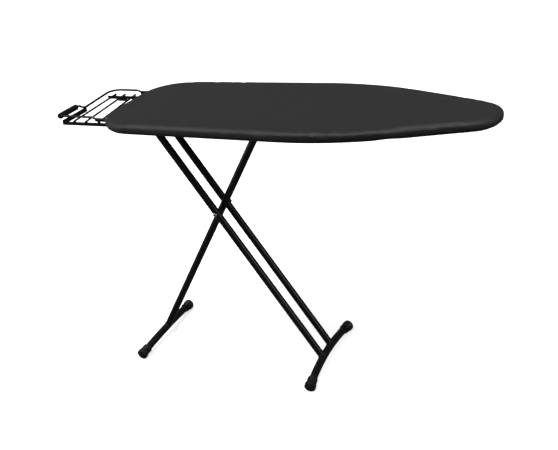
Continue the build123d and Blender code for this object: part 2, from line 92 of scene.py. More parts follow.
LEVER_REACH = 92 * MM
FOLDED_GRIP_X = HINGE_X + 2 * UPPER_ARM * math.cos(FOLDED_ANGLE) + LEVER_REACH
FOLDED_GRIP_Y = -142 * MM


# ---- Small tools ----
def node(tree, kind, inputs=None, **settings):
    """Adds a node to a tree, sets its properties, and sets or links its inputs."""
    made = tree.nodes.new(kind)
    for name, value in settings.items():
        setattr(made, name, value)
    for name, value in (inputs or {}).items():
        if isinstance(value, bpy.types.NodeSocket):
            tree.links.new(value, made.inputs[name])
        else:
            made.inputs[name].default_value = value
    return made


def paint(hex_colour):
    """An sRGB hex colour as a linear RGBA tuple."""
    channels = [int(hex_colour[i:i + 2], 16) / 255 for i in (1, 3, 5)]
    linear = [c / 12.92 if c <= 0.04045 else ((c + 0.055) / 1.055) ** 2.4 for c in channels]
    return (*linear, 1.0)


def mesh_object(name, vertices, faces, smooth=True):
    mesh = bpy.data.meshes.new(name)
    mesh.from_pydata([tuple(v) for v in vertices], [], [tuple(f) for f in faces])
    mesh.polygons.foreach_set("use_smooth", [smooth] * len(mesh.polygons))
    mesh.validate()
    made = bpy.data.objects.new(name, mesh)
    bpy.context.scene.collection.objects.link(made)
    return made


def give(piece, body, material, slot, *replaced):
    """Puts a material on a finished piece, and lets it ride on its body."""
    piece.data.materials.clear()
    piece.data.materials.append(material)
    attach(piece, body)
    if replaced:
        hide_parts(*replaced)
    return piece


def outward(piece):
    """Merges doubles and turns every face outwards."""
    work = bmesh.new()
    work.from_mesh(piece.data)
    bmesh.ops.remove_doubles(work, verts=work.verts, dist=1e-6)
    bmesh.ops.recalc_face_normals(work, faces=work.faces)
    work.to_mesh(piece.data)
    work.free()


def applied(piece):
    """Turns a piece's modifiers into a plain mesh and removes them."""
    evaluated = piece.evaluated_get(bpy.context.evaluated_depsgraph_get())
    mesh = bpy.data.meshes.new_from_object(evaluated)
    piece.modifiers.clear()
    old = piece.data
    piece.data = mesh
    bpy.data.meshes.remove(old)
    return piece


def seed_points(name, places, **vectors):
    """A mesh of loose points, each with the named vectors, for a node tree to grow pieces on."""
    mesh = bpy.data.meshes.new(name)
    mesh.from_pydata([tuple(p) for p in places], [], [])
    for label, values in vectors.items():
        layer = mesh.attributes.new(label, "FLOAT_VECTOR", "POINT")
        layer.data.foreach_set("vector", np.array(values, dtype=float).ravel())
    made = bpy.data.objects.new(name, mesh)
    bpy.context.scene.collection.objects.link(made)
    return made


def start_tree(name, *sizes):
    """A Geometry Nodes tree with a geometry input and the named size inputs."""
    tree = bpy.data.node_groups.new(name, "GeometryNodeTree")
    tree.interface.new_socket("Geometry", in_out="INPUT", socket_type="NodeSocketGeometry")
    for label in sizes:
        tree.interface.new_socket(label, in_out="INPUT", socket_type="NodeSocketFloat")
    tree.interface.new_socket("Geometry", in_out="OUTPUT", socket_type="NodeSocketGeometry")
    given = node(tree, "NodeGroupInput")
    return tree, given.outputs


def end_tree(tree, geometry, material):
    """Ends a tree with real geometry in one material."""
    real = node(tree, "GeometryNodeRealizeInstances", {"Geometry": geometry})
    dressed = node(tree, "GeometryNodeSetMaterial", {"Geometry": real.outputs[0], "Material": material})
    node(tree, "NodeGroupOutput", {"Geometry": dressed.outputs[0]})
    return tree


def grown(seeds, tree, sizes):
    """Grows a node tree on its seeds, and returns the plain mesh object."""
    modifier = seeds.modifiers.new(tree.name, "NODES")
    modifier.node_group = tree
    for item in tree.interface.items_tree:
        if item.name in sizes:
            modifier[item.identifier] = sizes[item.name]
    return applied(seeds)


# ---- The board's outline ----
def plan_corners():
    near = [(WIDE_END + x, -y, r) for x, y, r in BOARD_PLAN]
    return near + [(x, -y, r) for x, y, r in reversed(near)]


def outline(count):
    """Evenly spaced points round the board and their outward normals, from the nose's middle."""
    corners = plan_corners()
    path = []
    for i, (x, y, radius) in enumerate(corners):
        here = Vector((x, y))
        back = (Vector(corners[i - 1][:2]) - here).normalized()
        ahead = (Vector(corners[(i + 1) % len(corners)][:2]) - here).normalized()
        half_angle = math.acos(max(-1.0, min(1.0, back.dot(ahead)))) / 2
        tangent = radius / math.tan(half_angle)
        centre = here + (back + ahead).normalized() * (radius / math.sin(half_angle))
        start = here + back * tangent - centre
        turn = math.pi - 2 * half_angle
        for step in range(ARC_STEPS + 1):
            path.append(centre + Matrix.Rotation(turn * step / ARC_STEPS, 2) @ start)
    path = np.array(path)
    path = np.vstack([path, path[:1]])
    length = np.concatenate([[0], np.cumsum(np.linalg.norm(np.diff(path, axis=0), axis=1))])
    across_nose = slice(3 * (ARC_STEPS + 1) - 1, 3 * (ARC_STEPS + 1) + 1)
    middle_nose = np.interp(0, path[across_nose, 1], length[across_nose])
    wanted = (middle_nose + np.arange(count) * length[-1] / count) % length[-1]
    points = np.stack([np.interp(wanted, length, path[:, k]) for k in (0, 1)], axis=1)
    along = np.roll(points, -2, axis=0) - np.roll(points, 2, axis=0)
    along /= np.linalg.norm(along, axis=1)[:, None]
    normals = np.stack([along[:, 1], -along[:, 0]], axis=1)
    return points, normals


# ---- Materials ----
def new_material(name):
    material = bpy.data.materials.new(name)
    material.use_nodes = True
    tree = material.node_tree
    tree.nodes.clear()
    shader = node(tree, "ShaderNodeBsdfPrincipled")
    output = node(tree, "ShaderNodeOutputMaterial")
    tree.links.new(shader.outputs["BSDF"], output.inputs["Surface"])
    return material, tree, shader


def black_canvas():
    """Piece-dyed cotton canvas: a matt charcoal with a faint nap that lightens at a low angle."""
    material, tree, shader = new_material("black_cotton_canvas")
    thread = 1.6 * MM  # two threads of 0.8 mm, drawn as one so the weave shows
    uv = node(tree, "ShaderNodeTexCoord").outputs["UV"]
    # a wave texture repeats every 0.314 units at a scale of 1
    bands = {"Vector": uv, "Scale": 0.314 / thread, "Distortion": 0.6, "Detail": 1.0, "Detail Scale": 2.0}
    warp = node(tree, "ShaderNodeTexWave", bands, bands_direction="X").outputs["Fac"]
    weft = node(tree, "ShaderNodeTexWave", bands, bands_direction="Y").outputs["Fac"]
    weave = node(tree, "ShaderNodeMath", {0: warp, 1: weft}, operation="MULTIPLY").outputs[0]
    slubs = {"Vector": uv, "Scale": 1 / (5 * MM), "Detail": 3.0, "Roughness": 0.65}
    slub = node(tree, "ShaderNodeTexNoise", slubs).outputs["Fac"]
    clouds = {"Vector": uv, "Scale": 1 / (90 * MM), "Detail": 2.0}
    cloud = node(tree, "ShaderNodeTexNoise", clouds).outputs["Fac"]
    tone = node(tree, "ShaderNodeMath", {0: slub, 1: 0.65, 2: 0.16}, operation="MULTIPLY_ADD").outputs[0]
    tone = node(tree, "ShaderNodeMath", {0: weave, 1: 0.35, 2: tone}, operation="MULTIPLY_ADD").outputs[0]
    tone = node(tree, "ShaderNodeMath", {0: cloud, 1: 0.2, 2: tone}, operation="MULTIPLY_ADD").outputs[0]
    ramp = node(tree, "ShaderNodeValToRGB", {"Fac": tone})
    ramp.color_ramp.elements[0].position = 0.25
    ramp.color_ramp.elements[0].color = paint("#0f0f11")
    ramp.color_ramp.elements[1].position = 0.85
    ramp.color_ramp.elements[1].color = paint("#202022")
    tree.links.new(ramp.outputs["Color"], shader.inputs["Base Color"])
    height = node(tree, "ShaderNodeMath", {0: slub, 1: 0.5, 2: weave}, operation="MULTIPLY_ADD")
    bump = node(tree, "ShaderNodeBump", {"Height": height.outputs[0], "Distance": 0.35 * MM, "Strength": 0.8})
    tree.links.new(bump.outputs["Normal"], shader.inputs["Normal"])
    shader.inputs["Roughness"].default_value = 0.54
    shader.inputs["Specular IOR Level"].default_value = 0.5
    shader.inputs["Sheen Weight"].default_value = 0.06
    shader.inputs["Sheen Roughness"].default_value = 0.4
    shader.inputs["Sheen Tint"].default_value = paint("#c8c8cc")
    return material


def powder_coat():
    """Polyester powder coat on steel: deep satin black with a faint orange peel in its highlights."""
    material, tree, shader = new_material("black_powder_coat")
    place = node(tree, "ShaderNodeTexCoord").outputs["Object"]
    peel = node(tree, "ShaderNodeTexNoise", {"Vector": place, "Scale": 1 / (2.2 * MM), "Detail": 1.0})
    worn = node(tree, "ShaderNodeTexNoise", {"Vector": place, "Scale": 1 / (60 * MM), "Detail": 3.0})
    rough = node(tree, "ShaderNodeMapRange", {"Value": worn.outputs["Fac"], "To Min": 0.27, "To Max": 0.4})
    tree.links.new(rough.outputs["Result"], shader.inputs["Roughness"])
    ramp = node(tree, "ShaderNodeValToRGB", {"Fac": worn.outputs["Fac"]})
    ramp.color_ramp.elements[0].color = paint("#050506")
    ramp.color_ramp.elements[1].color = paint("#0d0d0e")
    tree.links.new(ramp.outputs["Color"], shader.inputs["Base Color"])
    orange_peel = {"Height": peel.outputs["Fac"], "Distance": 0.05 * MM, "Strength": 0.5}
    bump = node(tree, "ShaderNodeBump", orange_peel)
    tree.links.new(bump.outputs["Normal"], shader.inputs["Normal"])
    shader.inputs["IOR"].default_value = 1.5
    return material


def moulded(name, dark, light, roughness, grain, depth):
    """A moulded polymer: an even colour with a fine spark-eroded grain."""
    material, tree, shader = new_material(name)
    place = node(tree, "ShaderNodeTexCoord").outputs["Object"]
    noise = node(tree, "ShaderNodeTexNoise", {"Vector": place, "Scale": 1 / grain, "Detail": 2.0})
    broad = node(tree, "ShaderNodeTexNoise", {"Vector": place, "Scale": 1 / (14 * MM), "Detail": 2.0})
    ramp = node(tree, "ShaderNodeValToRGB", {"Fac": broad.outputs["Fac"]})
    ramp.color_ramp.elements[0].color = paint(dark)
    ramp.color_ramp.elements[1].color = paint(light)
    tree.links.new(ramp.outputs["Color"], shader.inputs["Base Color"])
    rough = node(tree, "ShaderNodeMapRange", {"Value": broad.outputs["Fac"], "To Min": roughness - 0.05,
                                              "To Max": roughness + 0.07})
    tree.links.new(rough.outputs["Result"], shader.inputs["Roughness"])
    bump = node(tree, "ShaderNodeBump", {"Height": noise.outputs["Fac"], "Distance": depth, "Strength": 0.6})
    tree.links.new(bump.outputs["Normal"], shader.inputs["Normal"])
    return material


def zinc_plate():
    """Bright zinc-plated steel: pale grey metal, brushed by the barrel, with dull patches."""
    material, tree, shader = new_material("zinc_plated_steel")
    place = node(tree, "ShaderNodeTexCoord").outputs["Object"]
    patch = node(tree, "ShaderNodeTexNoise", {"Vector": place, "Scale": 1 / (6 * MM), "Detail": 4.0})
    ramp = node(tree, "ShaderNodeValToRGB", {"Fac": patch.outputs["Fac"]})
    ramp.color_ramp.elements[0].color = paint("#b4b5b4")
    ramp.color_ramp.elements[1].color = paint("#dcdcda")
    tree.links.new(ramp.outputs["Color"], shader.inputs["Base Color"])
    rough = node(tree, "ShaderNodeMapRange", {"Value": patch.outputs["Fac"], "To Min": 0.16, "To Max": 0.34})
    tree.links.new(rough.outputs["Result"], shader.inputs["Roughness"])
    shader.inputs["Metallic"].default_value = 1.0
    return material


def felted_foam():
    """Polyurethane foam faced with grey felt: pale, soft and quite without gloss."""
    material, tree, shader = new_material("felt_faced_foam")
    place = node(tree, "ShaderNodeTexCoord").outputs["Object"]
    fibre = node(tree, "ShaderNodeTexNoise", {"Vector": place, "Scale": 1 / (1.5 * MM), "Detail": 5.0,
                                              "Roughness": 0.7})
    ramp = node(tree, "ShaderNodeValToRGB", {"Fac": fibre.outputs["Fac"]})
    ramp.color_ramp.elements[0].color = paint("#5b5b5c")
    ramp.color_ramp.elements[1].color = paint("#8f8f8e")
    tree.links.new(ramp.outputs["Color"], shader.inputs["Base Color"])
    tufts = {"Height": fibre.outputs["Fac"], "Distance": 0.6 * MM, "Strength": 0.9}
    bump = node(tree, "ShaderNodeBump", tufts)
    tree.links.new(bump.outputs["Normal"], shader.inputs["Normal"])
    shader.inputs["Roughness"].default_value = 0.95
    return material


CANVAS = black_canvas()
COAT = powder_coat()
RUBBER = moulded("moulded_foot_rubber", "#0d0d0e", "#161617", 0.36, 0.5 * MM, 0.06 * MM)
GRIP = moulded("moulded_polypropylene", "#0e0e0f", "#171718", 0.33, 0.4 * MM, 0.05 * MM)
NYLON = moulded("moulded_nylon", "#0f0f10", "#1a1a1b", 0.45, 0.35 * MM, 0.04 * MM)
ZINC = zinc_plate()
BLACK_ZINC = moulded("black_passivated_zinc", "#0a0a0b", "#18181a", 0.3, 0.3 * MM, 0.02 * MM)
FELT = felted_foam()
THREAD = moulded("polyester_thread", "#1c1c1e", "#2c2c2e", 0.6, 0.3 * MM, 0.08 * MM)

SLOT_FINISH = {
    "cover_cloth": CANVAS,
    "foam": FELT,
    "black_powder_coat": COAT,
    "black_plastic": NYLON,
    "grip_plastic": GRIP,
    "foot_rubber": RUBBER,
    "plated_steel": ZINC,
}

# pins and nuts that are passivated black instead of left bright
BLACKENED = ("pivot_nut", "pivot_washers", "hinge_axle", "slide_rod")


def finish_frame():
    """Gives every CAD node the finish of its slot."""
    for part in frame["record"]["subparts"]:
        shown = NODES[part["node"]]
        finish = BLACK_ZINC if part["node"] in BLACKENED else SLOT_FINISH[part["material_slot"]]
        for place in shown.material_slots:
            place.material = finish


# ---- The cloth cover ----
COVER_COUNT = 480
RIM_RINGS = 60 * MM
SPINE_START = WIDE_END + 212 * MM
SPINE_END = COVER_HIGH.x - 100 * MM
COVER_DEPTH = COVER_HIGH.z - COVER_LOW.z
SEAM_INSET = 25 * MM
CLOTH_T = 1.0 * MM
SAG = 1.6 * MM
PUCKER_DEPTH = 1.2 * MM
PUCKER_PITCH = 5.2
PUCKER_REACH = 60 * MM
TOP_CLEARANCE = 0.25 * MM
LEVEL = 0.1 * MM
CLOTH_TRAVEL = 2.2 * MM
CLOTH_INWARD = 0.15 * MM
CLOTH_FRAMES = 20


def edge_drop(inset):
    """How far the rolled edge lies below the top, at a distance in from the outline."""
    across = 1 - np.clip(inset / EDGE_WIDE, 0, 1)
    return EDGE_ROUND * (1 - np.sqrt(1 - across * across))


def cover_section():
    """The cover's section as rows of (inset, drop, cut distance), from the top round to the hem."""
    rows = [(inset, 0.0) for inset in np.linspace(RIM_RINGS, EDGE_WIDE + 3 * MM, 6)]
    for angle in np.linspace(0, math.pi / 2, 9):
        rows.append((EDGE_WIDE * (1 - math.sin(angle)), EDGE_ROUND * (1 - math.cos(angle))))
    for angle in np.linspace(0, math.pi / 2, 8):
        rows.append((EDGE_ROUND * (1 - math.cos(angle)), COVER_DEPTH - EDGE_ROUND * (1 - math.sin(angle))))
    rows += [(inset, COVER_DEPTH) for inset in np.linspace(EDGE_ROUND + 2.5 * MM, HEM_WIDTH, 7)]
    cut = [-rows[0][0]]
    for (a, b), (c, d) in zip(rows, rows[1:]):
        cut.append(cut[-1] + math.hypot(c - a, d - b))
    return [(inset, drop, s) for (inset, drop), s in zip(rows, cut)]


def ring_faces(ring_count, count):
    """Quads between neighbouring closed rings."""
    faces = []
    for r in range(ring_count - 1):
        for i in range(count):
            j = (i + 1) % count
            a, b = r * count, (r + 1) * count
            faces.append((a + i, b + i, b + j, a + j))
    return faces


def ladder_faces(base, count):
    """Quads that close the innermost ring across its spine."""
    return [(base + i, base + i + 1, base + count - i - 1, base + (count - i) % count)
            for i in range(count // 2)]


def pucker(index, points):
    """Folds that the elastic gathers in the hem, larger round the corners, as a signed share."""
    x = points[:, 0]
    wide_corner = np.exp(-((x - WIDE_END - 55 * MM) / PUCKER_REACH) ** 2)
    nose_corner = np.exp(-((x - COVER_HIGH.x + 30 * MM) / PUCKER_REACH) ** 2)
    wander = 1.9 * np.sin(index * 0.11)
    wave = np.sin(index * 2 * math.pi / PUCKER_PITCH + wander) + 0.5 * np.sin(index * 0.71 + 1.0)
    return wave * (0.35 + 0.65 * np.clip(wide_corner + nose_corner, 0, 1))


def clear_of_metal(x, y):
    """A share that falls to nothing where the rest's strips or the folded lever's grip come near the hem."""
    beside = np.clip((np.abs(np.abs(y) - STRIP_Y) - 6 * MM) / (12 * MM), 0, 1)
    beyond = np.clip((x - WIDE_END - 60 * MM) / (15 * MM), 0, 1)
    from_grip = np.clip((np.hypot(x - FOLDED_GRIP_X, y - FOLDED_GRIP_Y) - 24 * MM) / (15 * MM), 0, 1)
    return np.minimum(np.maximum(beside, beyond), from_grip)


def cover_mesh():
    """The cover as sewn: rings from the middle to the outline, round the edge and under to the hem."""
    points, normals = outline(COVER_COUNT)
    index = np.arange(COVER_COUNT)
    spine = np.stack([np.clip(points[:, 0], SPINE_START, SPINE_END), 0 * index], axis=1)
    first = points - normals * RIM_RINGS
    rings = [(first + (spine - first) * share, 0.0, first + (spine - first) * share, RIM_RINGS)
             for share in np.linspace(0.97, 0.06, 16)]
    for inset, drop, cut in cover_section():
        rings.append((points - normals * inset, drop, points + normals * cut, inset))
    fold = pucker(index, points)
    phases = np.random.default_rng(7).uniform(0, 2 * math.pi, (6, 2))
    vertices, cuts = [], []
    for flat, drop, cut, inset in rings:
        x, y = flat[:, 0], flat[:, 1]
        z = np.full(COVER_COUNT, COVER_HIGH.z - drop - TOP_CLEARANCE)
        if drop < LEVEL:
            away = np.clip((np.linalg.norm(flat - points, axis=1) - EDGE_WIDE) / (30 * MM), 0, 1)
            soft = sum(np.sin(x * (9 + 5 * k) + a) * np.sin(y * (13 + 7 * k) + b)
                       for k, (a, b) in enumerate(phases))
            z = z + (soft * 0.07 * MM - 0.5 * MM) * away
        under = np.clip((drop - EDGE_ROUND) / (COVER_DEPTH - EDGE_ROUND), 0, 1)
        share = under * (0.3 + 0.7 * min(1.0, inset / HEM_WIDTH))
        z = z - (np.abs(fold) * share * PUCKER_DEPTH + under * SAG) * clear_of_metal(x, y)
        bulge = fold * share * (1 - 0.7 * min(1.0, inset / EDGE_ROUND)) * 0.8 * MM
        flat = flat + normals * bulge[:, None]
        vertices.append(np.column_stack([flat, z]))
        cuts.append(cut)
    faces = ring_faces(len(rings), COVER_COUNT) + ladder_faces(0, COVER_COUNT)
    cover = mesh_object("board_cover", np.vstack(vertices), faces)
    loops = np.zeros(len(cover.data.loops), int)
    cover.data.loops.foreach_get("vertex_index", loops)
    layer = cover.data.uv_layers.new(name="cut")
    layer.data.foreach_set("uv", np.vstack(cuts)[loops].ravel())
    if cover.data.polygons[len(cover.data.polygons) - 1].normal.z < 0:
        cover.data.flip_normals()
    return cover, [inset for _, _, _, inset in rings], [drop for _, drop, _, _ in rings]


def settle_cloth(cover, insets, drops):
    """Lets the cloth settle over the rolled edge: the pad pushes it out and the hem's elastic holds it."""
    ease = cover.vertex_groups.new(name="held")
    for ring, (inset, drop) in enumerate(zip(insets, drops)):
        middle = drop < LEVEL and inset > EDGE_WIDE + 25 * MM
        hem = drop > COVER_DEPTH - LEVEL and inset > HEM_WIDTH - 4 * MM
        weight = 1.0 if middle or hem else 0.0
        ease.add(list(range(ring * COVER_COUNT, (ring + 1) * COVER_COUNT)), weight, "REPLACE")
    start = np.zeros(len(cover.data.vertices) * 3)
    cover.data.vertices.foreach_get("co", start)
    cloth = cover.modifiers.new("settle", "CLOTH")
    settings = cloth.settings
    settings.quality = 4
    settings.mass = 0.25
    settings.tension_stiffness = 20
    settings.compression_stiffness = 12
    settings.shear_stiffness = 8
    settings.bending_stiffness = 0.4
    settings.vertex_group_mass = "held"
    settings.shrink_min = -0.012
    settings.use_pressure = True
    settings.uniform_pressure_force = 2.0
    settings.effector_weights.gravity = 0
    cloth.collision_settings.use_collision = False
    scene = bpy.context.scene
    cloth.point_cache.frame_start = 1
    cloth.point_cache.frame_end = CLOTH_FRAMES
    for frame_number in range(1, CLOTH_FRAMES + 1):
        scene.frame_set(frame_number)
    settled = np.zeros_like(start)
    evaluated = cover.evaluated_get(bpy.context.evaluated_depsgraph_get())
    evaluated.data.vertices.foreach_get("co", settled)
    cover.modifiers.remove(cloth)
    scene.frame_set(1)
    move = (settled - start).reshape(-1, 3)
    reach = np.linalg.norm(move, axis=1)[:, None] + 1e-9
    move = move * np.minimum(1.0, CLOTH_TRAVEL / reach)
    normals = np.zeros_like(start)
    cover.data.vertices.foreach_get("normal", normals)
    normals = normals.reshape(-1, 3)
    # the pad is firm, so nothing goes inwards by more than a fraction of a millimetre
    inward = np.minimum(0, (move * normals).sum(axis=1) + CLOTH_INWARD)
    move = move - inward[:, None] * normals
    rest = start.reshape(-1, 3)
    move = move * clear_of_metal(rest[:, 0], rest[:, 1])[:, None]
    cover.data.vertices.foreach_set("co", (rest + move).ravel())
    cover.data.update()
    cover.vertex_groups.clear()
    print("cloth settled by up to %.2f mm" % (np.linalg.norm(move, axis=1).max() / MM))


def make_cover():
    cover, insets, drops = cover_mesh()
    settle_cloth(cover, insets, drops)
    seam_ring = max(range(len(insets)), key=lambda r: drops[r] - abs(insets[r] - SEAM_INSET))
    seam = [cover.data.vertices[seam_ring * COVER_COUNT + i].co.copy() for i in range(COVER_COUNT)]
    thick = cover.modifiers.new("thickness", "SOLIDIFY")
    thick.thickness = CLOTH_T
    thick.offset = -1
    give(cover, "board", CANVAS, "cover_cloth", "cover")
    return cover, seam


def cut_size():
    """The cloth's width, length and area before sewing: the board's plan and the turn-under all round."""
    points, normals = outline(COVER_COUNT)
    turned = points + normals * cover_section()[-1][2]
    width, length = np.ptp(turned[:, 1]), np.ptp(turned[:, 0])
    after = np.roll(turned, -1, axis=0)
    area = abs((turned[:, 0] * after[:, 1] - after[:, 0] * turned[:, 1]).sum()) / 2
    return float(width), float(length), float(area)


def stitch_tree():
    """Lock stitches: a short bar of thread at each pitch along the seam."""
    tree, given = start_tree("hem_stitches", "Pitch", "Length", "Thread")
    path = node(tree, "GeometryNodeMeshToCurve", {"Mesh": given["Geometry"]})
    even = node(tree, "GeometryNodeResampleCurve", {"Curve": path.outputs[0], "Length": given["Pitch"]},
                mode="LENGTH")
    bar = node(tree, "GeometryNodeMeshCylinder",
               {"Vertices": 6, "Radius": given["Thread"], "Depth": given["Length"]})
    tangent = node(tree, "GeometryNodeInputTangent")
    turn = node(tree, "FunctionNodeAlignRotationToVector", {"Vector": tangent.outputs[0]}, axis="Z")
    bars = node(tree, "GeometryNodeInstanceOnPoints",
                {"Points": even.outputs[0], "Instance": bar.outputs["Mesh"], "Rotation": turn.outputs[0]})
    return end_tree(tree, bars.outputs[0], THREAD)


def make_stitches(seam):
    """The line of stitching that holds the hem's casing."""
    mesh = bpy.data.meshes.new("hem_stitches")
    count = len(seam)
    proud = 0.25 * MM
    loop = [(i, (i + 1) % count) for i in range(count)]
    mesh.from_pydata([(p.x, p.y, p.z - proud) for p in seam], loop, [])
    seeds = bpy.data.objects.new("hem_stitches", mesh)
    bpy.context.scene.collection.objects.link(seeds)
    # real thread is 0.5 mm thick; it is drawn at 0.9 mm so that it shows
    stitches = grown(seeds, stitch_tree(), {"Pitch": 5.5 * MM, "Length": 4 * MM, "Thread": 0.45 * MM})
    give(stitches, "board", THREAD, "cover_cloth")
    return stitches


def make_pad():
    """The foam pad under the cover, with its top edge rolled down beneath the cloth."""
    count = 260
    below_cloth = 1.75 * MM
    points, normals = outline(count)
    pad_low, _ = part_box("foam_pad")
    spine = np.stack([np.clip(points[:, 0], SPINE_START, SPINE_END), np.zeros(count)], axis=1)
    insets = np.array((34, 27, 21, 16, 12, 9, 7.2, 6.5)) * MM
    tops = COVER_HIGH.z - edge_drop(insets) - below_cloth
    first, last = points - normals * insets[0], points - normals * insets[-1]
    rings = [(first + (spine - first) * share, tops[0]) for share in np.linspace(0.97, 0.1, 10)]
    rings += [(points - normals * inset, z) for inset, z in zip(insets, tops)]
    rings.append((last, pad_low.z))
    rings += [(last + (spine - last) * share, pad_low.z) for share in np.linspace(0.1, 0.97, 10)]
    vertices = np.vstack([np.column_stack([flat, np.full(count, z)]) for flat, z in rings])
    faces = ring_faces(len(rings), count)
    faces += ladder_faces(0, count) + ladder_faces((len(rings) - 1) * count, count)
    pad = mesh_object("foam_sheet", vertices, faces)
    outward(pad)
    give(pad, "board", FELT, "foam", "foam_pad")
    return pad


# ---- The expanded steel deck ----
DECK_COUNT = 400
DECK_INSET = 11 * MM
DECK_MARGIN = 12 * MM
CELL_LONG = 24 * MM
CELL_SHORT = 11 * MM


def expanded_metal_tree():
    """Slit and stretched sheet: rhombic cells of flat strands that meet at their corners."""
    tree, given = start_tree("expanded_metal", "Cell Long", "Cell Short", "Strand", "Sheet")
    half = node(tree, "ShaderNodeMath", {0: given["Cell Short"], 1: 0.5}, operation="MULTIPLY")
    rhombus = {"Width": given["Cell Long"], "Bottom Height": half.outputs[0], "Top Height": half.outputs[0]}
    cell = node(tree, "GeometryNodeCurvePrimitiveQuadrilateral", rhombus, mode="KITE")
    strand = node(tree, "GeometryNodeCurvePrimitiveQuadrilateral",
                  {"Width": given["Strand"], "Height": given["Sheet"]}, mode="RECTANGLE")
    strands = node(tree, "GeometryNodeCurveToMesh",
                   {"Curve": cell.outputs[0], "Profile Curve": strand.outputs[0]})
    cells = node(tree, "GeometryNodeInstanceOnPoints",
                 {"Points": given["Geometry"], "Instance": strands.outputs[0]})
    return end_tree(tree, cells.outputs[0], COAT)


def make_deck():
    """The mesh deck: cells within the outline, and the plain margin that is welded to the rim."""
    edge, normals = outline(DECK_COUNT)
    inner = edge - normals * (DECK_INSET + DECK_MARGIN)
    ring = np.vstack([inner, inner[:1]])
    places = []
    z = (DECK_LOW.z + DECK_HIGH.z) / 2
    for x in np.arange(DECK_LOW.x, DECK_HIGH.x, CELL_LONG):
        crossing = [a[1] + (x - a[0]) / (b[0] - a[0]) * (b[1] - a[1])
                    for a, b in zip(ring, ring[1:]) if (a[0] - x) * (b[0] - x) < 0]
        if len(crossing) < 2:
            continue
        low, high = min(crossing), max(crossing)
        rows = np.arange(-40, 41) * CELL_SHORT
        places += [(x, y, z) for y in rows if low - CELL_SHORT * 0.4 < y < high + CELL_SHORT * 0.4]
    sizes = {"Cell Long": CELL_LONG, "Cell Short": CELL_SHORT, "Strand": 2.0 * MM, "Sheet": 1.0 * MM}
    deck = grown(seed_points("steel_mesh_deck", places), expanded_metal_tree(), sizes)
    outer = edge - normals * DECK_INSET
    inner = edge - normals * (DECK_INSET + DECK_MARGIN + CELL_LONG * 0.2)
    low, high = DECK_LOW.z, DECK_HIGH.z
    rings = [(outer, low), (outer, high), (inner, high), (inner, low), (outer, low)]
    vertices = np.vstack([np.column_stack([flat, np.full(DECK_COUNT, height)]) for flat, height in rings])
    margin = mesh_object("deck_margin", vertices, ring_faces(len(rings), DECK_COUNT), smooth=False)
    outward(margin)
    work = bmesh.new()
    work.from_mesh(deck.data)
    work.from_mesh(margin.data)
    work.to_mesh(deck.data)
    work.free()
    bpy.data.objects.remove(margin)
    give(deck, "board", COAT, "black_powder_coat", "mesh_deck")
    return deck


# ---- Ribs on the caps and grips ----
def rib_tree(material):
    """Raised rings round an axis, one at each seed, scaled by its radius."""
    tree, given = start_tree("moulded_ribs", "Ring", "Bead")
    around = node(tree, "GeometryNodeCurvePrimitiveCircle", {"Resolution": 28, "Radius": given["Ring"]})
    bead = node(tree, "GeometryNodeCurvePrimitiveCircle", {"Resolution": 6, "Radius": given["Bead"]})
    ring = node(tree, "GeometryNodeCurveToMesh",
                {"Curve": around.outputs[0], "Profile Curve": bead.outputs[0]})
    axis = node(tree, "GeometryNodeInputNamedAttribute", {"Name": "axis"}, data_type="FLOAT_VECTOR")
    turn = node(tree, "FunctionNodeAlignRotationToVector", {"Vector": axis.outputs[0]}, axis="Z")
    rings = node(tree, "GeometryNodeInstanceOnPoints",
                 {"Points": given["Geometry"], "Instance": ring.outputs[0], "Rotation": turn.outputs[0]})
    smooth = node(tree, "GeometryNodeSetShadeSmooth", {"Geometry": rings.outputs[0]})
    return end_tree(tree, smooth.outputs[0], material)


def leg_point(top_x, lean, x, y, z=0.0):
    """A point given along a leg, across it and off it, in the object's frame."""
    along = Vector((lean * math.cos(LEG_ANGLE), 0, -math.sin(LEG_ANGLE)))
    off = Vector((lean * math.sin(LEG_ANGLE), 0, math.cos(LEG_ANGLE)))
    return Vector((top_x, y, HINGE_Z)) + along * x + off * z


def cap_axis(top_x, lean, half_width, side):
    """Where a foot bar ends in its cap, and the direction that it ends in."""
    slope = math.atan(2 * FOOT_ARCH / half_width)
    end = leg_point(top_x, lean, LEG_LENGTH - CAP_CENTRE * math.sin(slope),
                    side * (half_width - CAP_CENTRE * math.cos(slope)))
    nose = leg_point(top_x, lean, LEG_LENGTH, side * half_width)
    return end, (nose - end).normalized()


def make_cap_ribs():
    """Four moulded ribs round the collar of each foot cap."""
    for name, body, top_x, lean, half_width in (("front_cap_ribs", "twin_leg", HINGE_X, 1, FRONT_FOOT_HALF),
                                                ("rear_cap_ribs", "single_leg", ROD_X, -1, REAR_FOOT_HALF)):
        places, axes = [], []
        for side in (-1, 1):
            end, axis = cap_axis(top_x, lean, half_width, side)
            for back in (21, 16, 11, 6):
                places.append(end - axis * back * MM)
                axes.append(axis)
        seeds = seed_points(name, places, axis=axes)
        ribs = grown(seeds, rib_tree(RUBBER), {"Ring": CAP_COLLAR_R, "Bead": 1.2 * MM})
        give(ribs, body, RUBBER, "foot_rubber")


def make_grip_ribs():
    """Fine finger ribs round the lever's grip."""
    low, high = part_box("lever_grip")
    middle = (low + high) / 2
    reach = (high.y - low.y) / 2 - 5 * MM
    pitch = 4.5 * MM
    steps = int(2 * reach / pitch)
    places = [(middle.x, middle.y + reach * (2 * i / steps - 1), middle.z) for i in range(steps + 1)]
    axes = [(0, 1, 0)] * len(places)
    ribs = grown(seed_points("lever_grip_ribs", places, axis=axes), rib_tree(GRIP),
                 {"Ring": (high.x - low.x) / 2 - 0.15 * MM, "Bead": 0.6 * MM})
    give(ribs, "release_lever", GRIP, "grip_plastic")


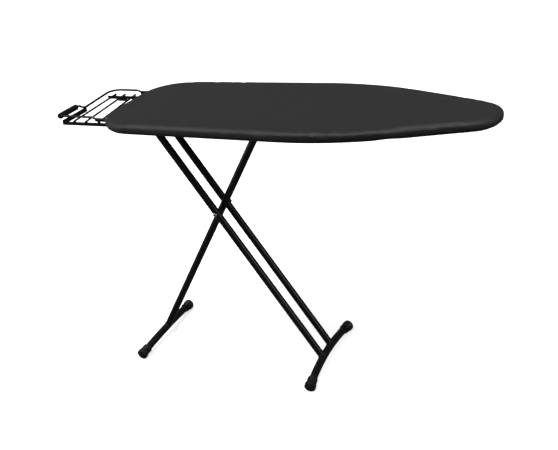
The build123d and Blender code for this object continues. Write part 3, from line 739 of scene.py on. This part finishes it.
# ---- Welds ----
def weld_tree():
    """A weld bead as a run of overlapping droplets of uneven size."""
    tree, given = start_tree("weld_bead", "Droplet")
    drop = node(tree, "GeometryNodeMeshIcoSphere", {"Radius": given["Droplet"], "Subdivisions": 2})
    spread = {"Min": (0.75, 0.75, 0.75), "Max": (1.15, 1.15, 1.15), "Seed": 5}
    uneven = node(tree, "FunctionNodeRandomValue", spread, data_type="FLOAT_VECTOR")
    drops = node(tree, "GeometryNodeInstanceOnPoints",
                 {"Points": given["Geometry"], "Instance": drop.outputs[0], "Scale": uneven.outputs[0]})
    smooth = node(tree, "GeometryNodeSetShadeSmooth", {"Geometry": drops.outputs[0]})
    return end_tree(tree, smooth.outputs[0], COAT)


def saddle(top_x, lean, y, count=34):
    """Points round the joint where a leg tube meets its foot bar."""
    bar_x = LEG_LENGTH - FOOT_ARCH * (1 - (y / FRONT_FOOT_HALF) ** 2)
    places = []
    for i in range(count):
        angle = 2 * math.pi * i / count
        across, off = LEG_R * math.cos(angle), LEG_R * math.sin(angle)
        depth = math.sqrt(FOOT_BAR_R ** 2 - off ** 2)
        places.append(leg_point(top_x, lean, bar_x - depth - 0.4 * MM, y + across * 1.04, off * 1.04))
    return places


def make_welds():
    """Beads where the legs meet their foot bars, and where the rest's wires cross the strips."""
    twin = saddle(HINGE_X, 1, -TWIN_HALF_GAP) + saddle(HINGE_X, 1, TWIN_HALF_GAP)
    board = []
    for number in (1, 2, 3):
        low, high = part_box("rest_cross_wire_%d" % number)
        for end_x, y in ((high.x - WIRE_R, -STRIP_Y), (low.x + WIRE_R + 1.4 * MM, STRIP_Y)):
            board += [(end_x + dx * MM, y + dy * MM, low.z + 0.6 * MM)
                      for dx in (-3.4, 3.4) for dy in (-1, 1)]
    for name, body, places in (
        ("twin_leg_welds", "twin_leg", twin),
        ("single_leg_welds", "single_leg", saddle(ROD_X, -1, 0)),
        ("rest_welds", "board", board),
    ):
        welds = grown(seed_points(name, places), weld_tree(), {"Droplet": 1.7 * MM})
        give(welds, body, COAT, "black_powder_coat")


# ---- The lever's spring ----
def spring_tree():
    """A close-wound torsion spring of round wire."""
    tree, given = start_tree("torsion_spring", "Coil", "Wire", "Height", "Turns")
    wound = {"Resolution": 24, "Rotations": given["Turns"], "Start Radius": given["Coil"],
             "End Radius": given["Coil"], "Height": given["Height"]}
    helix = node(tree, "GeometryNodeCurveSpiral", wound)
    wire = node(tree, "GeometryNodeCurvePrimitiveCircle", {"Resolution": 8, "Radius": given["Wire"]})
    coil = node(tree, "GeometryNodeCurveToMesh", {"Curve": helix.outputs[0], "Profile Curve": wire.outputs[0],
                                                  "Fill Caps": True})
    upright = node(tree, "GeometryNodeTransform",
                   {"Geometry": coil.outputs[0], "Rotation": (-math.pi / 2, 0, 0)})
    springs = node(tree, "GeometryNodeInstanceOnPoints",
                   {"Points": given["Geometry"], "Instance": upright.outputs[0]})
    smooth = node(tree, "GeometryNodeSetShadeSmooth", {"Geometry": springs.outputs[0]})
    return end_tree(tree, smooth.outputs[0], ZINC)


def make_spring():
    low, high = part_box("lever_spring")
    start = ((low.x + high.x) / 2, low.y + 0.5 * MM, (low.z + high.z) / 2)
    sizes = {"Coil": 4.6 * MM, "Wire": 0.5 * MM, "Height": 4.6 * MM, "Turns": 4.0}
    spring = grown(seed_points("lever_spring_coil", [start]), spring_tree(), sizes)
    give(spring, "slide_block", ZINC, "plated_steel", "lever_spring")


# ---- Scene ----
def make_stage():
    half, height = 20, 14
    corners = [(-half, -half), (half, -half), (half, half), (-half, half)]
    walls = [(i, i + 4, (i + 1) % 4 + 4, (i + 1) % 4) for i in range(4)]
    places = [(x, y, z) for z in (0, height) for x, y in corners]
    floor = mesh_object("floor", places, [(0, 1, 2, 3)] + walls, smooth=False)
    material, tree, shader = new_material("pale_floor")
    shader.inputs["Base Color"].default_value = paint("#f2f2f2")
    shader.inputs["Roughness"].default_value = 0.9
    shader.inputs["Specular IOR Level"].default_value = 0.1
    shader.inputs["Emission Color"].default_value = (1, 1, 1, 1)
    shader.inputs["Emission Strength"].default_value = 0.7
    floor.data.materials.append(material)
    # a white sweep lights the object less than it shows, as in a studio with flags beside it
    floor.visible_diffuse = False
    floor.visible_glossy = False


def area_light(name, place, target, size, power):
    data = bpy.data.lights.new(name, "AREA")
    data.shape = "RECTANGLE"
    data.size, data.size_y = size
    data.energy = power
    light = bpy.data.objects.new(name, data)
    light.location = place
    light.rotation_euler = (Vector(target) - Vector(place)).to_track_quat("-Z", "Y").to_euler()
    bpy.context.scene.collection.objects.link(light)


def make_lights():
    world = bpy.data.worlds.new("studio")
    world.use_nodes = True
    world.node_tree.nodes["Background"].inputs["Color"].default_value = (1, 1, 1, 1)
    world.node_tree.nodes["Background"].inputs["Strength"].default_value = 0.09
    bpy.context.scene.world = world
    sky = bpy.data.lights.new("overhead_softbox", "SUN")
    sky.energy = 3.0
    sky.angle = math.radians(36)
    overhead = bpy.data.objects.new("overhead_softbox", sky)
    overhead.rotation_euler = Vector((0.15, 0.25, -1)).to_track_quat("-Z", "Y").to_euler()
    bpy.context.scene.collection.objects.link(overhead)
    area_light("left_strip", (-3.0, -1.2, 1.8), (0, 0, 0.5), (0.5, 2.6), 26)
    area_light("right_strip", (2.8, -0.4, 2.0), (0, 0, 0.5), (0.4, 2.6), 22)


def make_camera():
    """A camera aimed at the middle of the board by its azimuth, elevation, roll and distance."""
    azimuth, elevation, roll = math.radians(27.60), math.radians(26.51), math.radians(-7.69)
    target = Vector((-0.0138, 0, 0.4970))
    distance = 2.6576
    back = Vector((math.sin(azimuth) * math.cos(elevation), -math.cos(azimuth) * math.cos(elevation),
                   math.sin(elevation)))
    right = (-back).cross(Vector((0, 0, 1))).normalized()
    up = right.cross(-back)
    turned_right = right * math.cos(roll) + up * math.sin(roll)
    turned_up = -right * math.sin(roll) + up * math.cos(roll)
    data = bpy.data.cameras.new("camera")
    data.sensor_width = 36.0
    data.lens = 53.12
    data.shift_x = -0.0018
    data.shift_y = 0.0041
    camera = bpy.data.objects.new("camera", data)
    place = target + back * distance
    turn = Matrix((turned_right, turned_up, back)).transposed().to_4x4()
    camera.matrix_world = Matrix.Translation(place) @ turn
    bpy.context.scene.collection.objects.link(camera)
    bpy.context.scene.camera = camera
    bpy.context.scene.view_settings.view_transform = "Standard"


make_camera()
finish_frame()
cover, seam = make_cover()
stitches = make_stitches(seam)
pad = make_pad()
make_deck()
make_cap_ribs()
make_grip_ribs()
make_welds()
make_spring()
make_stage()
make_lights()

cut_width, cut_length, cut_area = cut_size()
